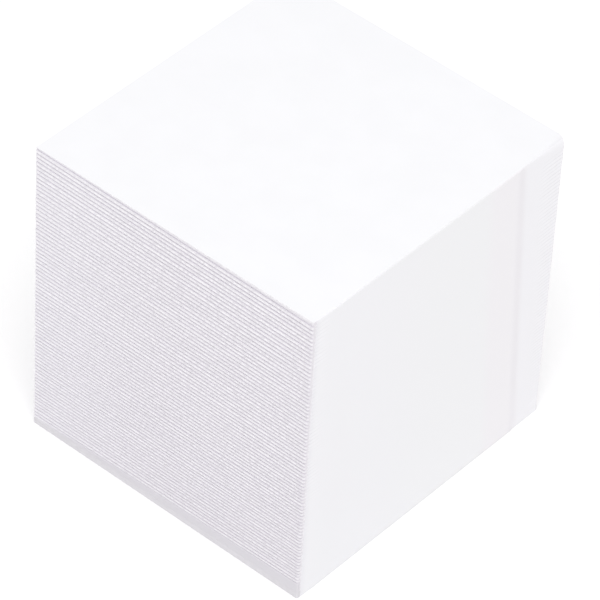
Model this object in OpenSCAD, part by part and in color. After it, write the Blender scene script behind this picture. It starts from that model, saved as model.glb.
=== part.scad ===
/* [Note sheets] */
// Width of a sheet, from its free edge to its glued edge
sheet_w = 86.7; // [60:0.1:110]
// Depth of a sheet, along its glued edge
sheet_d = 90; // [60:0.5:110]
// Height of the stack of sheets, above the backing board
stack_h = 88; // [40:0.1:120]
// Radius of the rubbed upright corner beside the glued side
corner_r = 0.5; // [0.3:0.1:4]

/* [Cut edges of the sheets] */
// Height of the lot of sheets at the top of the stack, under the top sheets
lot_top_h = 1.28; // [0.9:0.01:2]
// Height of the lot of sheets at the foot of the stack
lot_foot_h = 1.02; // [0.9:0.01:2]
// Height of the few top sheets that lie loose
top_sheets_h = 0.6; // [0.4:0.05:2]
// Height of the groove between two lots, at its mouth
groove_h = 0.4; // [0.2:0.05:0.7]
// Depth of the groove between two lots
groove_depth = 0.25; // [0.2:0.05:0.6]
// Furthest that a lot stands back from the cut face
lot_step = 0.1; // [0:0.01:0.18]

/* [Soaked foot of the stack] */
// Height to which glue fills the grooves of the front, at the glued corner
soaked_h = 2.8; // [0.5:0.1:6]
// Height of the same half-way along the front
soaked_mid_h = 2.1; // [0.3:0.1:5]
// Width of the front that stays clear of it, at the free corner
clear_w = 4; // [1:0.5:20]
// How far the glue has soaked in between the sheets
soaked_w = 2; // [0.5:0.1:5]

/* [Backing board] */
// Thickness of the backing board
board_t = 2; // [0.5:0.1:5]

/* [Glue coat] */
// Thickness of the glue on the bound side
glue_t = 0.3; // [0.2:0.05:0.8]
// Radius of the glue's edge at the top and at the foot
glue_edge_r = 0.2; // [0.05:0.05:0.2]
// Bare width between the curve of the front corner and the glue
glue_gap = 0.7; // [0:0.1:3]
// Width over which the glue thickens behind its front end
feather_w = 4; // [0.5:0.5:10]
// Thickness of the glue at its front end
feather_t = 0.06; // [0.02:0.02:0.18]
// Width of the slope from the full coat down to the thin one
lip_w = 0.5; // [0.1:0.1:3]
// Thickness of the thin coat towards the back edge
thin_t = 0.1; // [0.05:0.05:0.15]
// Width of the thin coat at the top
thin_top_w = 15.5; // [1:0.1:20]
// Width of the thin coat at the foot
thin_foot_w = 9.3; // [1:0.1:20]
// Width left bare at the back edge
bare_w = 0.3; // [0.1:0.1:10]

/* [Hidden] */

// Straight runs that make up a quarter of a round edge
corner_runs = 8;

// The block's whole height, and where its corner with the least x and y stands
block_h = board_t + stack_h;
left_x = -(sheet_w + glue_t) / 2;
front_y = -sheet_d / 2;

// Lots of sheets below the loose top ones: their number, and what makes their heights add up
lots_h = stack_h - top_sheets_h;
lots = round(2 * lots_h / (lot_top_h + lot_foot_h));
lot_fit = 2 * lots_h / (lots * (lot_top_h + lot_foot_h));

// Height of the seam under lot k, above the board: each lot is a little taller than the one below
function seam_z(k) = lot_fit * (k * lot_foot_h + (lot_top_h - lot_foot_h) * k * (k - 1) / (2 * (lots - 1)));

// Every seam from the board up, and the top of the stack
seams = concat([for (k = [0:lots]) seam_z(k)], [stack_h]);

// How far each lot stands back on the four sides, one column to a side
left_steps = rands(0, lot_step, lots + 1, 11);
bound_steps = rands(0, lot_step, lots + 1, 23);
front_steps = rands(0, lot_step, lots + 1, 37);
back_steps = rands(0, lot_step, lots + 1, 53);

// Where the glue starts and ends along the bound side, and how far its lip leans to the front
glue_start = corner_r + glue_gap;
glue_end = sheet_d - bare_w;
lip_lean = atan((thin_top_w - thin_foot_w) / block_h);

function reversed(points) = [for (i = [len(points) - 1:-1:0]) points[i]];

// A quarter of a circle, turning from straight down to straight right
function quarter(centre, r) = [for (i = [0:corner_runs])
    centre + r * [sin(90 * i / corner_runs), -cos(90 * i / corner_runs)]];

// One cut face seen edge on, going up: a groove below every lot, then the lot's own flat edge
function cut_edge(face, out, steps) = [for (k = [0:lots]) each [
    [face - out * groove_depth, seams[k]],
    [face - out * steps[k], seams[k] + groove_h / 2],
    [face - out * steps[k], seams[k + 1] - (k < lots ? groove_h / 2 : 0)]]];

// Outline of a stack whose two opposite faces both show the cut edges
module cut_outline(width, low_steps, high_steps) {
    polygon(concat(cut_edge(width, 1, high_steps), reversed(cut_edge(0, -1, low_steps))));
}

// The rounded corner of a sheet and of the board, seen from above
function sheet_corner() = quarter([sheet_w - corner_r, corner_r], corner_r);

// A sheet seen from above
module sheet_plan() {
    polygon(concat([[0, 0]], sheet_corner(), [[sheet_w, sheet_d], [0, sheet_d]]));
}

// The strip of a sheet that the glue has soaked, seen from above
module glued_plan() {
    translate([sheet_w - soaked_w, glue_start]) square([soaked_w, glue_end - glue_start]);
}

// The foot of the front where glue has filled the grooves, seen from the front
module soaked_foot() {
    polygon([
        [clear_w, 0], [sheet_w - corner_r, 0], [sheet_w - corner_r, soaked_h],
        [sheet_w / 2, soaked_mid_h]]);
}

// Moves a shape drawn from the block's corner to the block's own place
module in_place(height) {
    translate([left_x, front_y, height]) children();
}

// Sheets in a stack, guillotined on three sides in lots, and soaked flush where they are glued
module sheets() {
    color([0.96, 0.96, 0.98])
    in_place(board_t) {
        intersection() {
            linear_extrude(stack_h) sheet_plan();
            translate([0, sheet_d, 0]) rotate([90, 0, 0])
                linear_extrude(sheet_d) cut_outline(sheet_w, left_steps, bound_steps);
            rotate([90, 0, 90])
                linear_extrude(sheet_w) cut_outline(sheet_d, front_steps, back_steps);
        }
        linear_extrude(stack_h) glued_plan();
        translate([0, soaked_w, 0]) rotate([90, 0, 0]) linear_extrude(soaked_w) soaked_foot();
    }
}

// The glue seen from above, before it thins: feathered at the front, and full down the side
module glue_plan() {
    full_x = sheet_w + glue_t;
    polygon([
        [sheet_w, glue_start], [sheet_w + feather_t, glue_start], [full_x, glue_start + feather_w],
        [full_x, glue_end], [sheet_w, glue_end]]);
}

// What is missing past the glue's lip, seen along the lip: its slope, and all above the thin coat
module past_lip() {
    thin_x = sheet_w + thin_t;
    clear_x = thin_x + 2 * (glue_t - thin_t);
    polygon([[thin_x, 0], [clear_x, -2 * lip_w], [clear_x, sheet_d], [thin_x, sheet_d]]);
}

// The glue seen edge on: its top and foot are rounded where it was brushed off
module glue_section() {
    outer = sheet_w + glue_t;
    polygon(concat(
        [[0, 0]],
        quarter([outer - glue_edge_r, glue_edge_r], glue_edge_r),
        reversed([for (p = quarter([outer - glue_edge_r, glue_edge_r], glue_edge_r)) [p.x, block_h - p.y]]),
        [[0, block_h]]));
}

// Padding glue brushed down the bound side, over the sheets and the board
module glue_coat() {
    color([0.93, 0.93, 0.95])
    in_place(0)
        difference() {
            intersection() {
                linear_extrude(block_h) glue_plan();
                translate([0, sheet_d, 0]) rotate([90, 0, 0])
                    linear_extrude(sheet_d) glue_section();
            }
            translate([0, glue_end - thin_foot_w, 0]) rotate([lip_lean, 0, 0])
                linear_extrude(3 * block_h, center = true) past_lip();
        }
}

// Plain board under the stack, trimmed with it
module backing_board() {
    color([0.85, 0.84, 0.87])
    in_place(0)
        linear_extrude(board_t) sheet_plan();
}

sheets();
glue_coat();
backing_board();
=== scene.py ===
"""A memo cube: a block of white note sheets glued down one side, on a plain board."""
import math
import random

import bmesh
import bpy
from mathutils import Matrix, Vector, noise


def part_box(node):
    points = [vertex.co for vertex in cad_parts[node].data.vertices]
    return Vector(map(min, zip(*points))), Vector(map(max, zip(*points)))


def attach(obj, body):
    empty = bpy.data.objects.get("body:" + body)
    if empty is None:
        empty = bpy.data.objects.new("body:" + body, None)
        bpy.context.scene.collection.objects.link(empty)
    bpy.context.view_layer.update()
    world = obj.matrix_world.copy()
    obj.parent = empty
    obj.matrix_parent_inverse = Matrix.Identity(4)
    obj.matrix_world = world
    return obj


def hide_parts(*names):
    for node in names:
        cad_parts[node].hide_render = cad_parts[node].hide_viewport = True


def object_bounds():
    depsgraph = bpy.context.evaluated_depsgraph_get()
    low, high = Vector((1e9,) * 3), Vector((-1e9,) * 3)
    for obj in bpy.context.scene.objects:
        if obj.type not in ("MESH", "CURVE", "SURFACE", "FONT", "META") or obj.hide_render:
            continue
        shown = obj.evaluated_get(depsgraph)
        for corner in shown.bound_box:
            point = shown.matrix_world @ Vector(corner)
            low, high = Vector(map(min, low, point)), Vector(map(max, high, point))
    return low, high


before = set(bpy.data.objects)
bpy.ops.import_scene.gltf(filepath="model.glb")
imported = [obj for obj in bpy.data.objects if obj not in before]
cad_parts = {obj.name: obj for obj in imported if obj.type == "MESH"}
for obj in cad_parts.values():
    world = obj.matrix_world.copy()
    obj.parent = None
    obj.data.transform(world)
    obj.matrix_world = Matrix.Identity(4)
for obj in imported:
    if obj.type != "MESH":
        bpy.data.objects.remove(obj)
cad_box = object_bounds()
MM = 0.001


# The note sheets
# Some 880 sheets of white 80 g writing paper, guillotined in lots of ten to thirteen, so that each lot's
# cut edge stands a hair in or out, with a fine groove at every seam. Glue down one side holds them.
LEAF_T = 0.1 * MM
LEAF_GAP = 0.008 * MM
TOP_LEAVES = 6
LOT_TOP_H = 1.28 * MM
LOT_FOOT_H = 1.02 * MM
LOT_STEP = 0.1 * MM
LEAF_STRAY = 0.03 * MM
STRAY_CELLS = (60, 60, 3.7)
LEAF_SAG = 0.12 * MM
SAG_CELLS = (25, 25, 9)
RUN = 10 * MM
TINY = 0.001 * MM
SEED = 7

# How far the first and the second leaf from a seam stand back in its groove, how many leaves from a seam
# a lot's painted highlight rises to its ridge, and how strong both are: at the free and at the glued end,
# and lot by lot
GROOVE_LEAVES = (0.19 * MM, 0.07 * MM)
RIDGE_LEAVES = (2.5, 4.5)
GROOVE_GROWS = (0.92, 1.05)
SEAM_FORCE = (0.75, 1.0)

# The marks are calmer close to the glued corner. The top leaf overhangs, and at the glued end the top
# leaves flare out one over the other
CORNER_CALM = 0.25
CALM_W = (7 * MM, 2 * MM)
TOP_LEAF_LIP = 0.045 * MM
TOP_FLARE = 4

# The glued edge was clamped until the glue had dried: by what share its leaves lie closer than at the free
# edge, the level that they are drawn towards, and how soon this starts above the foot and below the top
CLAMPED = 0.034
CLAMP_LEVEL = 64 * MM
CLAMP_FOOT = 0.8 * MM
CLAMP_TOP = 0.5 * MM

# The upright corner beside the glue is rubbed round, and the grooves fade out on it. The bare strip from
# there to the glue is pale, and at the back corner the grooves run out shallow
CORNER_R = 0.5 * MM
CORNER_RUNS = 5
CORNER_FADE_FOOT = (0.5 * MM, 1.5 * MM)
CORNER_FADE_TOP = (0.3 * MM, 0.7 * MM)
BARE_PALE = 0.8
BACK_CORNER_SHOWS = 0.35

# The glue has drawn the top edge down along its side, more so over the last run to the back corner
BEND_R = (0.2 * MM, 1.9 * MM)
BEND_TALL = 1.45
BEND_RUN = 14 * MM
BEND_STEPS = 6
BEND_CUTS = (0.1 * MM, 0.2 * MM, 0.4 * MM, 0.65 * MM, 0.95 * MM, 1.25 * MM, 1.6 * MM, 1.9 * MM)
BEND_CLEAR = 2 * BEND_R[1]
# Painted shade in the middle of the bend, where the lamp would light the rounded edge, laid on in the soaked
# grey
BEND_SHADE = 0.25

# Glue has filled the grooves at the foot of the front, over a wedge that starts clear of the free corner
SOAKED_H = 2.8 * MM
CLEAR_W = 4 * MM
SOAKED_BLUR = 0.35 * MM

low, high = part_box("sheets")
leaves = round((high.z - low.z) / LEAF_T)
leaf_rings = 2 * leaves
corner = Vector((high.x - CORNER_R, low.y + CORNER_R))
glue_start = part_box("glue_coat")[0].y
rand = random.Random(SEED)


def cut_block(outline, bottom, top, rings, run):
    """An upright block on a flat outline, with rings of cuts up its sides and a cut every run along."""
    bm = bmesh.new()
    for level in (bottom, top):
        bm.faces.new([bm.verts.new((x, y, level)) for x, y in outline])
    # The sides are bridged, because extruded ones come in an order that changes from run to run
    bmesh.ops.bridge_loops(bm, edges=list(bm.edges))
    by_cuts = {}
    for edge in bm.edges:
        if abs(edge.verts[0].co.z - edge.verts[1].co.z) < TINY:
            by_cuts.setdefault(math.ceil(edge.calc_length() / run) - 1, []).append(edge)
    for cuts, edges in sorted(by_cuts.items()):
        if cuts > 0:
            bmesh.ops.subdivide_edges(bm, edges=edges, cuts=cuts)
    upright = [e for e in bm.edges if abs(e.verts[0].co.z - e.verts[1].co.z) > TINY]
    bmesh.ops.subdivide_edges(bm, edges=upright, cuts=rings - 2)
    bmesh.ops.recalc_face_normals(bm, faces=bm.faces)
    return bm


def ring_of(v, bottom, top, rings):
    """The number of the ring that a corner of such a block is on, from 0 at the bottom."""
    return round((v.co.z - bottom) / (top - bottom) * (rings - 1))


def arc(centre, radius, start, end, runs):
    """Points round part of a circle, from one angle in degrees to another."""
    turns = [math.radians(start + (end - start) * i / runs) for i in range(runs + 1)]
    return [(centre[0] + radius * math.cos(t), centre[1] + radius * math.sin(t)) for t in turns]


def rise(value, start, end):
    """0 below start, 1 above end, and a smooth rise from one to the other."""
    t = min(max((value - start) / (end - start), 0.0), 1.0)
    return t * t * (3 - 2 * t)


def ripple(cells, place):
    """Smooth noise between -1 and 1, with this many cells to a unit of each number of the place."""
    return noise.noise(Vector([count * number for count, number in zip(cells, place)]))


def bend_at(y):
    """How wide and how tall the rounding of the top edge is at this depth, and how far it has grown."""
    grow = min(max((y - (high.y - BEND_RUN)) / BEND_RUN, 0.0), 1.0)
    wide = BEND_R[0] + (BEND_R[1] - BEND_R[0]) * grow
    return wide, wide * (1 + (BEND_TALL - 1) * grow), grow


def drawn_down(v):
    """Rounds off the top edge on the glued side. Returns up to 1 in the middle of the bend, and 0 off it."""
    wide, tall, grow = bend_at(v.co.y)
    out = Vector(((v.co.x - high.x) / wide + 1, (v.co.z - high.z) / tall + 1))
    if min(out) <= 0:
        return 0.0
    bent = out.normalized() * max(out)
    v.co.x = high.x + wide * (bent.x - 1)
    v.co.z = high.z + tall * (bent.y - 1)
    return grow * max(out) * math.sin(2 * math.atan2(out.x, out.y))


def finished(name, bm, materials, node):
    """Makes the piece from its mesh, and hangs it on the frame in place of its plain solid."""
    mesh = bpy.data.meshes.new(name)
    bm.to_mesh(mesh)
    bm.free()
    for material in materials:
        mesh.materials.append(material)
    piece = bpy.data.objects.new(name, mesh)
    bpy.context.scene.collection.objects.link(piece)
    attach(piece, "root")
    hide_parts(node)
    return piece


# Seams between the lots, counted in leaves from the foot: the lots grow a little taller going up
lots_h = high.z - low.z - TOP_LEAVES * LEAF_T
lots = round(2 * lots_h / (LOT_TOP_H + LOT_FOOT_H))
lot_fit = 2 * lots_h / (lots * (LOT_TOP_H + LOT_FOOT_H))
growth = (LOT_TOP_H - LOT_FOOT_H) / (2 * (lots - 1))
seams = [round(lot_fit * (k * LOT_FOOT_H + growth * k * (k - 1)) / LEAF_T) for k in range(lots + 1)]

# For every leaf: its lot, how deep it lies in a groove at each end, and how much it is on its lot's ridge,
# for its painted highlight
leaf_lot = []
free_groove = []
leaf_ridge = []
for leaf in range(leaves):
    near = min(abs(leaf + 0.5 - s) for s in seams)
    leaf_lot.append(sum(1 for s in seams if s <= leaf))
    free_groove.append(GROOVE_LEAVES[int(near)] if near < len(GROOVE_LEAVES) else 0)
    leaf_ridge.append(rise(near, *RIDGE_LEAVES))
free_groove[-3:-1] = [TOP_LEAF_LIP, TOP_LEAF_LIP]
glued_groove = free_groove[:-TOP_LEAVES] + [
    GROOVE_LEAVES[0] * (depth / (TOP_LEAVES - 1)) ** TOP_FLARE for depth in range(TOP_LEAVES - 1, -1, -1)]
lot_back = [[rand.uniform(0, LOT_STEP) for side in range(4)] for lot in range(lots + 2)]
seam_force = [rand.uniform(*SEAM_FORCE) for s in range(lots + 2)]


def round_corner(x, y):
    """How far a point of the outline is round the front corner and past it, from where its curve starts."""
    out = Vector((x, min(y, corner.y))) - corner
    return math.atan2(out.x, -out.y) * CORNER_R + max(0.0, y - corner.y)


def sides_at(x, y, share):
    """The outward ways at a point of the outline, each with its side and how much of the grooves shows."""
    if x > corner.x + TINY and y < glue_start + TINY:
        out = Vector((x, min(y, corner.y))) - corner
        start, end = Vector(CORNER_FADE_FOOT).lerp(Vector(CORNER_FADE_TOP), share)
        return [(2, out.normalized(), 1 - rise(round_corner(x, y), start, end))]
    found = [(side, Vector(way), 1.0) for side, gap, way in (
        (0, x - low.x, (-1, 0)), (2, y - low.y, (0, -1)), (3, high.y - y, (0, 1))) if gap < TINY]
    if high.x - x < TINY:
        found.append((1, Vector((1, 0)), BACK_CORNER_SHOWS if high.y - y < TINY else 0.0))
    return found


def clamped(level, free):
    """Where a leaf of this level lies: clamped at the glued edge, and sprung open at the free one."""
    shift = CLAMPED * (CLAMP_LEVEL - level) * (1 - free)
    return level + shift * rise(level, 0, CLAMP_FOOT) * rise(high.z - low.z - level, 0, CLAMP_TOP)


def soaked_at(x, y, z):
    """1 where the glue has filled the grooves at the foot of the front, and 0 above that."""
    if y > corner.y:
        return 0.0
    along = max(0.0, (x - low.x - CLEAR_W) / (high.x - low.x - CLEAR_W))
    level = low.z + SOAKED_H * math.sqrt(along)
    return 1 - rise(z, level - SOAKED_BLUR, level + SOAKED_BLUR)


rounded = [(low.x, low.y), *arc(corner, CORNER_R, -90, 0, CORNER_RUNS), (high.x, glue_start),
           *((high.x, high.y - BEND_RUN * step / BEND_STEPS) for step in range(BEND_STEPS, 0, -1)),
           (high.x, high.y), (high.x - BEND_CLEAR, high.y), (low.x, high.y)]
bm = cut_block(rounded, low.z, high.z, leaf_rings, RUN)
along_map = bm.loops.layers.uv.new("edge")
shade_and_highlight_mark = bm.verts.layers.float.new("groove")
# The soaked mark holds both the glue at the foot of the front and the painted shade on the bend of the top
# edge
soak_and_shade_mark = bm.verts.layers.float.new("soaked")
for face in bm.faces:
    flat = abs(face.normal.z) > 0.5
    face.material_index = 0 if flat else 1
    for loop in face.loops:
        x, y, z = loop.vert.co
        loop[along_map].uv = (x, y) if flat else ((x if abs(face.normal.y) > 0.5 else y), z - low.z)

# Each leaf has a ring at its foot and one at its top. It stands back with its lot, strays a little, and
# stands further back in a groove. The groove mark is above 0 in a groove, for painted shade, and below 0 on
# a ridge, for a painted highlight
for v in bm.verts:
    x, y = v.co.xy
    ring = ring_of(v, low.z, high.z, leaf_rings)
    leaf = ring // 2
    share = leaf / (leaves - 1)
    free = (high.x - x) / (high.x - low.x)
    back = lot_back[leaf_lot[leaf]]
    stray = LEAF_STRAY * abs(ripple(STRAY_CELLS, (x, y, leaf)))
    sag = LEAF_SAG * free * math.sin(math.pi * share) * ripple(SAG_CELLS, (x, y, share))
    level = clamped(leaf * LEAF_T + (ring % 2) * (LEAF_T - LEAF_GAP), free) + sag
    soaked = soaked_at(x, y, low.z + level)
    grows = GROOVE_GROWS[1] + (GROOVE_GROWS[0] - GROOVE_GROWS[1]) * free
    groove = (free_groove[leaf] * free + glued_groove[leaf] * (1 - free)) * grows
    shown = 0.0
    for side, way, keep in sides_at(x, y, share):
        shown = max(shown, keep * (1 - soaked))
        v.co.xy -= way * keep * (1 - soaked) * (groove + back[side] + stray)
    mark = groove / GROOVE_LEAVES[0] - leaf_ridge[leaf] * grows
    calm = 1 - CORNER_CALM * rise(x, high.x - CALM_W[0], high.x - CALM_W[1])
    v[shade_and_highlight_mark] = mark * seam_force[leaf_lot[leaf]] * shown * calm
    # The bare strip by the corner is blended towards the ridges' painted highlight colour, more so towards
    # the glue
    if abs(x - high.x) < TINY and corner.y < y < glue_start + TINY:
        v[shade_and_highlight_mark] = -BARE_PALE * (y - corner.y) / (glue_start - corner.y)
    v[soak_and_shade_mark] = soaked
    v.co.z = high.z if leaf == leaves - 1 and ring % 2 else low.z + level

top = [f for f in bm.faces if f.normal.z > 0.5 and f.calc_center_median().z > high.z - LEAF_GAP]
cuts = [((high.x - cut, 0, 0), (1, 0, 0)) for cut in BEND_CUTS]
cuts += [((0, high.y - BEND_RUN * step / BEND_STEPS, 0), (0, 1, 0)) for step in range(1, BEND_STEPS + 1)]
for place, way in cuts:
    parts = dict.fromkeys(part for f in top for part in (f, *f.edges, *f.verts))
    split = bmesh.ops.bisect_plane(bm, geom=list(parts), plane_co=place, plane_no=way)
    top = [part for part in split["geom"] if isinstance(part, bmesh.types.BMFace)]
# The top edge is rounded, and painted shade in the soaked grey darkens the middle of the bend, more so
# towards the back corner
for v in bm.verts:
    v[soak_and_shade_mark] = max(v[soak_and_shade_mark], BEND_SHADE * drawn_down(v))

# The faces of the sheets are white, and the cut edges greyer. A grain is its cells to the metre, its
# detail and, where it is drawn out, its stretch
PAPER_WHITE = (0.93, 0.93, 0.952)
PAPER_DULL = 0.985
PAPER_CLOUD = (90, 4)
CLOUD_EDGES = (0.3, 0.7)
PAPER_FIBRE = (2600, 3)
PAPER_ROUGH = (0.82, 0.92)
# The cut edges' colour at the free and at the glued end: the glued end is darker with painted shade
PAPER_EDGE_FREE = (0.843, 0.825, 0.864)
PAPER_EDGE_SHADED = (0.808, 0.784, 0.822)
LEAF_TONE = 0.26
# Painted highlight on the ridges of the lots, where their edges would catch the lamp, laid on in patches
PAPER_RIDGE_HIGHLIGHT = (0.98, 0.96, 0.99)
# Painted shade in the grooves; the leaves are also tinted towards this grey at random, for their own tone
GROOVE_SHADE_AND_TONE_GREY = (0.705, 0.675, 0.735)
GROOVE_SHADE = (0.72, 1.22)
# The glue-soaked foot of the front, and the painted shade on the bend of the top edge
SOAK_AND_SHADE_GREY = (0.735, 0.715, 0.753)
EDGE_BURR = (420, 3, (1, 1, 6))
EDGE_TOOTH = (3000, 2, (1, 1, 3))
EDGE_ROUGH = (0.86, 0.96)
RIDGE_HIGHLIGHT_PATCHES = (1500, 1, (1, 1, 1.5))
PATCH_EDGES = (0.27, 0.65)


def plug(node, values):
    """Gives each named socket of a node its plain value, or joins it to its wire."""
    for key, value in values.items():
        if isinstance(value, Wire):
            value.tree.links.new(value.socket, node.inputs[key])
        else:
            node.inputs[key].default_value = value


class Wire:
    """One number, colour or vector in a node tree, which adds and multiplies like any other."""

    def __init__(self, tree, socket=None):
        self.tree = tree
        self.socket = socket

    def node(self, kind, settings=None, inputs=None, out=0):
        """Any node: its settings first, then a value or a wire for each socket named."""
        made = self.tree.nodes.new(kind)
        for key, value in (settings or {}).items():
            setattr(made, key, value)
        plug(made, inputs or {})
        return Wire(self.tree, made.outputs[out])

    def maths(self, operation, *values):
        return self.node("ShaderNodeMath", {"operation": operation}, dict(enumerate(values)))

    def __add__(self, other):
        return self.maths("ADD", self, other)

    def __sub__(self, other):
        return self.maths("SUBTRACT", self, other)

    def __rsub__(self, other):
        return self.maths("SUBTRACT", other, self)

    def __mul__(self, other):
        return self.maths("MULTIPLY", self, other)

    def __floor__(self):
        return self.maths("FLOOR", self)

    __radd__ = __add__
    __rmul__ = __mul__

    def along(self, axis):
        """One of the three numbers of these coordinates."""
        return self.node("ShaderNodeSeparateXYZ", inputs={0: self}, out=axis)

    def mark(self, name):
        """A mark that was left on the corners of the mesh."""
        return self.node("ShaderNodeAttribute", {"attribute_name": name}, out="Fac")

    def grain(self, cells, detail, stretch=(1, 1, 1)):
        """Cloudy noise with this many cells to the metre, read from these coordinates."""
        placed = self.node("ShaderNodeMapping", inputs={"Vector": self, "Scale": stretch})
        return self.node("ShaderNodeTexNoise", inputs={"Vector": placed, "Scale": cells, "Detail": detail})

    def between(self, start, end):
        """0 below start, 1 above end, and a smooth rise from one to the other."""
        return self.node("ShaderNodeMapRange", {"interpolation_type": "SMOOTHSTEP"},
                         {"Value": self, "From Min": start, "From Max": end})

    def spread(self, first, second):
        """The first number where this is 0, and the second where it is 1."""
        return first + (second - first) * self

    def blend(self, first, second):
        """The first colour where this is 0, and the second where it is 1."""
        return self.node("ShaderNodeMix", {"data_type": "RGBA"},
                         {"Factor": self, 6: (*first, 1) if isinstance(first, tuple) else first,
                          7: (*second, 1) if isinstance(second, tuple) else second}, out=2)

    def bump(self, strength, distance):
        """The way that a surface faces which is raised by this much of the distance."""
        return self.node("ShaderNodeBump", inputs={
            "Height": self, "Strength": strength, "Distance": distance})


def new_finish(name):
    """A fresh material, the wire of its place on the piece, and its shader."""
    material = bpy.data.materials.new(name)
    material.use_nodes = True
    place = Wire(material.node_tree).node("ShaderNodeTexCoord", out="Object")
    return material, place, material.node_tree.nodes["Principled BSDF"]


def paper_finish():
    """The face of a sheet: uncoated white paper, with the faint cloud and tooth of its fibres."""
    material, place, shader = new_finish("writing_paper")
    cloud = place.grain(*PAPER_CLOUD).between(*CLOUD_EDGES)
    fibre = place.grain(*PAPER_FIBRE)
    dull = tuple(c * PAPER_DULL for c in PAPER_WHITE)
    # On the top face the soaked mark is painted shade on the bend of its edge
    plug(shader, {
        "Base Color": place.mark("soaked").blend(cloud.blend(PAPER_WHITE, dull), SOAK_AND_SHADE_GREY),
        "Specular IOR Level": 0.25,
        "Roughness": fibre.spread(*PAPER_ROUGH),
        "Normal": fibre.bump(strength=0.35, distance=0.02 * MM)})
    return material


def edge_finish():
    """The cut edges, paler at the free end by painted light: grey with painted shade in the grooves, bright
    with a painted highlight in patches on the ridges.
    """
    material, place, shader = new_finish("cut_paper_edge")
    leaf = math.floor(place.node("ShaderNodeUVMap", {"uv_map": "edge"}).along("Y") * (1 / LEAF_T))
    tone = leaf.node("ShaderNodeTexWhiteNoise", {"noise_dimensions": "1D"}, {"W": leaf})
    groove = place.mark("groove")
    burr = place.grain(*EDGE_BURR)
    ridge_highlight = (-1 * groove) * place.grain(*RIDGE_HIGHLIGHT_PATCHES).between(*PATCH_EDGES)
    # Painted shade: the edges darken towards the glued end
    body = place.along("X").between(low.x, 0).blend(PAPER_EDGE_FREE, PAPER_EDGE_SHADED)
    # Each leaf is tinted towards the grey at random, and the ridges get a painted highlight
    shade = ridge_highlight.blend((LEAF_TONE * tone).blend(body, GROOVE_SHADE_AND_TONE_GREY), PAPER_RIDGE_HIGHLIGHT)
    # Painted shade in the grooves, stronger or weaker with the burr
    shade = (groove * burr.spread(*GROOVE_SHADE)).blend(shade, GROOVE_SHADE_AND_TONE_GREY)
    # The soaked mark is glue at the foot of the front, and painted shade on the bend of the top edge
    plug(shader, {
        "Base Color": place.mark("soaked").blend(shade, SOAK_AND_SHADE_GREY),
        "Specular IOR Level": 0.2,
        "Roughness": burr.spread(*EDGE_ROUGH),
        "Normal": place.grain(*EDGE_TOOTH).bump(strength=0.3, distance=0.015 * MM)})
    return material


finished("note_sheets", bm, [paper_finish(), edge_finish()], "sheets")


# The glue coat
# White padding glue, brushed down the bound side over sheets and board and left to dry to a satin skin.
# It is feathered out short of the front corner, and past its low leaning lip only a thin coat is left.
GLUE_T = 0.3 * MM
FEATHER_T = 0.06 * MM
FEATHER_W = 4 * MM
THIN_T = 0.1 * MM
THIN_TOP_W = 15.5 * MM
THIN_FOOT_W = 9.3 * MM
LIP_W = 0.5 * MM
LEAST_SKIN = 0.015 * MM
GLUE_EDGE_R = 0.2 * MM
EDGE_SKIN = 0.5
BRUSH_WAVE = 0.08
WAVE_CELLS = (45, 30, 2)
GLUE_RUN = 1.5 * MM
GLUE_END_RINGS = (0, 0.05 * MM, 0.12 * MM, 0.2 * MM)
BEND_RING = 0.3 * MM
BEND_RINGS = 10
SHARP_ANGLE = 50

# The seams show as faint dips through the skin, with painted shade in the dips and a painted highlight
# beside them: in patches behind its front end, less so going down, and in the thin coat at the back edge,
# apart from its top
SEAM_H = 0.4 * MM
SEAM_DIP = 0.09 * MM
SEAM_SHOWS = (0.7, 1.0)
FRONT_SEAMS = (2 * MM, 7 * MM)
FRONT_SEAMS_UP = (0.1, 0.6)
FRONT_SEAM_FORCE = 0.7
SEAM_CELLS = (300, 200, 5)
SEAM_PATCHES = (-0.45, 0.25)
BACK_SEAMS_TOP = (8.6 * MM, 6 * MM)
BACK_SEAMS_FOOT = (4.6 * MM, 2.6 * MM)
BACK_SEAM_FORCE = 0.45
CLEAR_TOP = (2.5 * MM, 5.5 * MM)
HIGHLIGHT_SHARE = 0.7

glue_low, glue_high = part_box("glue_coat")
side_x = glue_high.x - GLUE_T
feather_end = glue_low.y + FEATHER_W
lip_foot = glue_high.y - THIN_FOOT_W
lean = (THIN_TOP_W - THIN_FOOT_W) / (glue_high.z - glue_low.z)
glue_outline = [
    (side_x, glue_low.y), (side_x + FEATHER_T, glue_low.y), (glue_high.x, feather_end),
    (glue_high.x, lip_foot - LIP_W), (side_x + THIN_T, lip_foot),
    (side_x + THIN_T, glue_high.y), (side_x, glue_high.y)]

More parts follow.
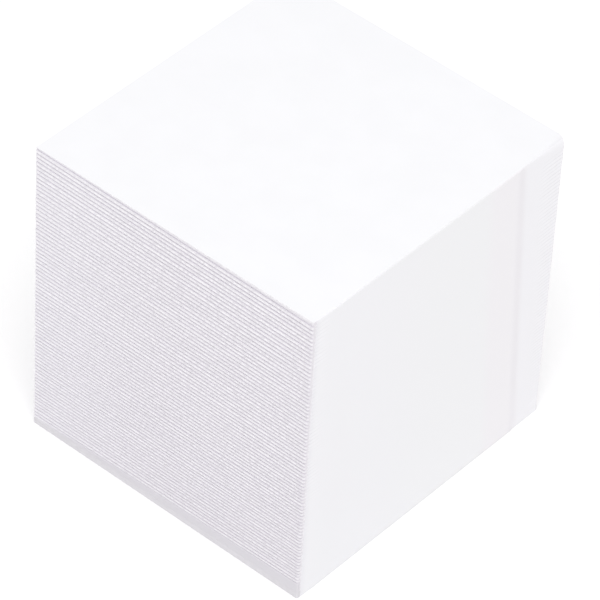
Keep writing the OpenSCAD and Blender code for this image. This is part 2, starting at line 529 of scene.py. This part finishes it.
# Rings at the glue's foot and top, below, on and above every seam, and down the bend of the top edge
seam_heights = [low.z + clamped(s * LEAF_T, 0) for s in seams]
rings = {glue_low.z + h for h in GLUE_END_RINGS} | {glue_high.z - h for h in GLUE_END_RINGS}
for height in seam_heights:
    rings |= {height - SEAM_H / 2, height, height + SEAM_H / 2}
bend_top = {glue_high.z - BEND_RING * step for step in range(1, BEND_RINGS + 1)}
rings |= {height for height in bend_top if min(abs(height - ring) for ring in rings) > BEND_RING / 4}
rings = sorted(rings)
bm = cut_block(glue_outline, glue_low.z, glue_high.z, len(rings), GLUE_RUN)
shade_and_highlight_mark = bm.verts.layers.float.new("groove")
for v in bm.verts:
    x, y, z = v.co.x, v.co.y, rings[ring_of(v, glue_low.z, glue_high.z, len(rings))]
    share = (z - glue_low.z) / (glue_high.z - glue_low.z)
    if y > lip_foot:
        reach = (glue_high.y - y) / (glue_high.y - lip_foot)
    else:
        reach = (y - feather_end) / (lip_foot - feather_end)
    y -= lean * (z - glue_low.z) * max(0.0, reach)
    front_seams = FRONT_SEAM_FORCE * (1 - rise(y - low.y, *FRONT_SEAMS)) * rise(share, *FRONT_SEAMS_UP)
    front_seams *= rise(ripple(SEAM_CELLS, (y, z, 1)), *SEAM_PATCHES)
    far, near = Vector(BACK_SEAMS_FOOT).lerp(Vector(BACK_SEAMS_TOP), share)
    back_seams = (1 - rise(high.y - y, near, far)) * (BACK_SEAM_FORCE + (1 - BACK_SEAM_FORCE) * share)
    back_seams *= 1 - rise(z, high.z - CLEAR_TOP[1], high.z - CLEAR_TOP[0])
    shows = max(front_seams, back_seams) * rand.uniform(*SEAM_SHOWS)
    seam = shows if z in seam_heights else 0.0
    # Above 0 on a seam, for painted shade, and below 0 beside it, for a painted highlight
    v[shade_and_highlight_mark] = seam or -HIGHLIGHT_SHARE * shows
    if x > side_x + TINY:
        edge = min(z - glue_low.z, glue_high.z - z) / GLUE_EDGE_R
        round_off = EDGE_SKIN + (1 - EDGE_SKIN) * math.sqrt(max(0.0, 1 - (1 - min(edge, 1)) ** 2))
        wave = BRUSH_WAVE * (ripple(WAVE_CELLS, (y, z, 1)) - 1)
        x = side_x + max(LEAST_SKIN, (x - side_x) * (1 + wave) * round_off - SEAM_DIP * seam)
    v.co = (x, y, z)
    drawn_down(v)

# The glue turns greyer and then pinker towards its lip, has a line of painted shade just before it, and is
# cooler where it is thin: each band starts and ends this far past the lip
GLUE_WHITE = (0.908, 0.903, 0.928)
GLUE_GREY = (0.908, 0.906, 0.922)
GLUE_PINK = (0.912, 0.893, 0.918)
GLUE_LIP_SHADE = (0.904, 0.884, 0.914)
GLUE_THIN = (0.922, 0.913, 0.942)
GLUE_BANDS = (
    (-60 * MM, -25 * MM, GLUE_GREY), (-14 * MM, -9 * MM, GLUE_PINK),
    (-2.6 * MM, -1 * MM, GLUE_LIP_SHADE), (0, 2.4 * MM, GLUE_THIN))
GLUE_FRONT = (0.865, 0.855, 0.89)
GLUE_FRONT_W = 1.6 * MM
SEAM_SHADE_GREY = (0.745, 0.73, 0.77)
SEAM_SHADE = 0.8
SEAM_HIGHLIGHT = (0.955, 0.945, 0.975)
BRUSH_STREAKS = (160, 3, (1, 1, 0.25))
GLUE_ROUGH = (0.5, 0.7)


def glue_finish():
    """Dried white glue: satin, streaked by the brush, in bands of colour that lean with its lip."""
    material, place, shader = new_finish("padding_glue")
    y = place.along("Y")
    past_lip = y + lean * place.along("Z") - lip_foot
    streak = place.grain(*BRUSH_STREAKS)
    groove = place.mark("groove")
    body = GLUE_WHITE
    for start, end, colour in GLUE_BANDS:
        body = past_lip.between(start, end).blend(body, colour)
    body = (y - glue_start).between(0, GLUE_FRONT_W).blend(GLUE_FRONT, body)
    # The seam marks paint shade in the dips and a highlight beside them
    plug(shader, {
        "Base Color": (groove * SEAM_SHADE).blend((-1 * groove).blend(body, SEAM_HIGHLIGHT), SEAM_SHADE_GREY),
        "Specular IOR Level": 0.4,
        "Roughness": streak.spread(*GLUE_ROUGH),
        "Normal": streak.bump(strength=0.25, distance=0.08 * MM)})
    return material


glue = finished("glue_skin", bm, [glue_finish()], "glue_coat")
glue.data.shade_smooth()
glue.data.set_sharp_from_angle(angle=math.radians(SHARP_ANGLE))


# The backing board
# Two millimetres of plain pale board under the stack, trimmed flush with the sheets in the same cut, so
# that its edge is straight and clean, but a touch soft along its rims. The glue coat holds it too.
BOARD_EASE = 0.12 * MM
BOARD_RINGS = 14
BOARD_GREY = (0.775, 0.757, 0.79)
BOARD_DEEP = 0.95
BOARD_PLIES = (900, 3, (0.05, 0.05, 1))
BOARD_SPECKS = (700, 4)
SPECK_EDGES = (0.35, 0.65)
BOARD_ROUGH = (0.84, 0.94)

board_low, board_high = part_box("backing_board")
board_outline = [(board_low.x, board_low.y), *arc(corner, CORNER_R, -90, 0, CORNER_RUNS),
                 (board_high.x, board_high.y), (board_low.x, board_high.y)]
bm = cut_block(board_outline, board_low.z, board_high.z, BOARD_RINGS, RUN)
for v in bm.verts:
    edge = min(v.co.z - board_low.z, board_high.z - v.co.z)
    pull = BOARD_EASE * max(0.0, 1 - edge / BOARD_EASE)
    for gap, way in ((v.co.x - board_low.x, (1, 0)), (v.co.y - board_low.y, (0, 1)),
                     (board_high.y - v.co.y, (0, -1))):
        if gap < TINY:
            v.co.xy += pull * Vector(way)


def board_finish():
    """Plain board: matt, with the faint plies and specks of pressed pulp on its cut edge."""
    material, place, shader = new_finish("plain_board")
    plies = place.grain(*BOARD_PLIES)
    specks = place.grain(*BOARD_SPECKS)
    deep = tuple(c * BOARD_DEEP for c in BOARD_GREY)
    plug(shader, {
        "Base Color": (0.5 * plies + 0.5 * specks).between(*SPECK_EDGES).blend(BOARD_GREY, deep),
        "Specular IOR Level": 0.2,
        "Roughness": specks.spread(*BOARD_ROUGH),
        "Normal": plies.bump(strength=0.3, distance=0.03 * MM)})
    return material


finished("board", bm, [board_finish()], "backing_board")


# The floor and the light
# A plain white floor, lit by the pale room and by one large soft lamp above and to the right. To the
# camera the room is plain white, and the floor glows a little, so that only the block's shadow shows.
ROOM_LIGHT = 0.75
LAMP_PULL = Vector((0.12, -0.14, 0.32))
LAMP_DISTANCE = 2.0
LAMP_SIZE = 1.4
FLOOR_SIZE = 3.0
FLOOR_WHITE = (0.93, 0.93, 0.93)
FLOOR_DULL = 0.998
FLOOR_CLOUD = (3, 2)
FLOOR_EDGES = (0.2, 0.8)
FLOOR_LIFT = (0.13, 0.13, 0.13)

bm = bmesh.new()
bmesh.ops.create_grid(bm, x_segments=2, y_segments=2, size=FLOOR_SIZE / 2)
bmesh.ops.translate(bm, verts=bm.verts, vec=(0, 0, cad_box[0].z))
floor_mesh = bpy.data.meshes.new("floor")
bm.to_mesh(floor_mesh)
bm.free()
floor = bpy.data.objects.new("floor", floor_mesh)
bpy.context.scene.collection.objects.link(floor)

floor_material, place, shader = new_finish("white_floor")
seen = place.node("ShaderNodeLightPath", out="Is Camera Ray")
cloud = place.grain(*FLOOR_CLOUD).between(*FLOOR_EDGES)
plug(shader, {
    "Base Color": cloud.blend(FLOOR_WHITE, tuple(c * FLOOR_DULL for c in FLOOR_WHITE)),
    "Specular IOR Level": 0.0,
    "Roughness": 0.9,
    "Emission Color": seen.blend((0, 0, 0), FLOOR_LIFT),
    "Emission Strength": 1.0})
floor_mesh.materials.append(floor_material)

world = bpy.data.worlds.new("pale_room")
bpy.context.scene.world = world
world.use_nodes = True
seen = Wire(world.node_tree).node("ShaderNodeLightPath", out="Is Camera Ray")
plug(world.node_tree.nodes["Background"], {"Color": (1, 1, 1, 1), "Strength": seen.spread(ROOM_LIGHT, 1)})

lamp_data = bpy.data.lights.new("soft_lamp", "AREA")
lamp_data.shape = "DISK"
lamp_data.size = LAMP_SIZE
lamp_data.energy = LAMP_PULL.length * (math.pi * LAMP_DISTANCE) ** 2
lamp = bpy.data.objects.new("soft_lamp", lamp_data)
lamp.location = LAMP_PULL.normalized() * LAMP_DISTANCE
lamp.rotation_mode = "QUATERNION"
lamp.rotation_quaternion = LAMP_PULL.to_track_quat("Z", "Y")
bpy.context.scene.collection.objects.link(lamp)


# The camera
# A long lens that looks down on the front corner, tilted a few degrees, as in the photograph.
CAMERA_PLACE = (0.53389, -0.65127, 0.81725)
CAMERA_AZIMUTH = 39.232
CAMERA_ELEVATION = 42.724
CAMERA_ROLL = 3.35
LENS = 283.85

camera_data = bpy.data.cameras.new("camera")
camera_data.sensor_width = 36
camera_data.lens = LENS
camera_data.clip_start = 0.05
camera_data.clip_end = 20
camera = bpy.data.objects.new("camera", camera_data)
camera.matrix_world = (
    Matrix.Translation(CAMERA_PLACE)
    @ Matrix.Rotation(math.radians(CAMERA_AZIMUTH), 4, "Z")
    @ Matrix.Rotation(math.radians(90 - CAMERA_ELEVATION), 4, "X")
    @ Matrix.Rotation(math.radians(CAMERA_ROLL), 4, "Z"))
bpy.context.scene.collection.objects.link(camera)
bpy.context.scene.camera = camera
bpy.context.scene.view_settings.view_transform = "Standard"
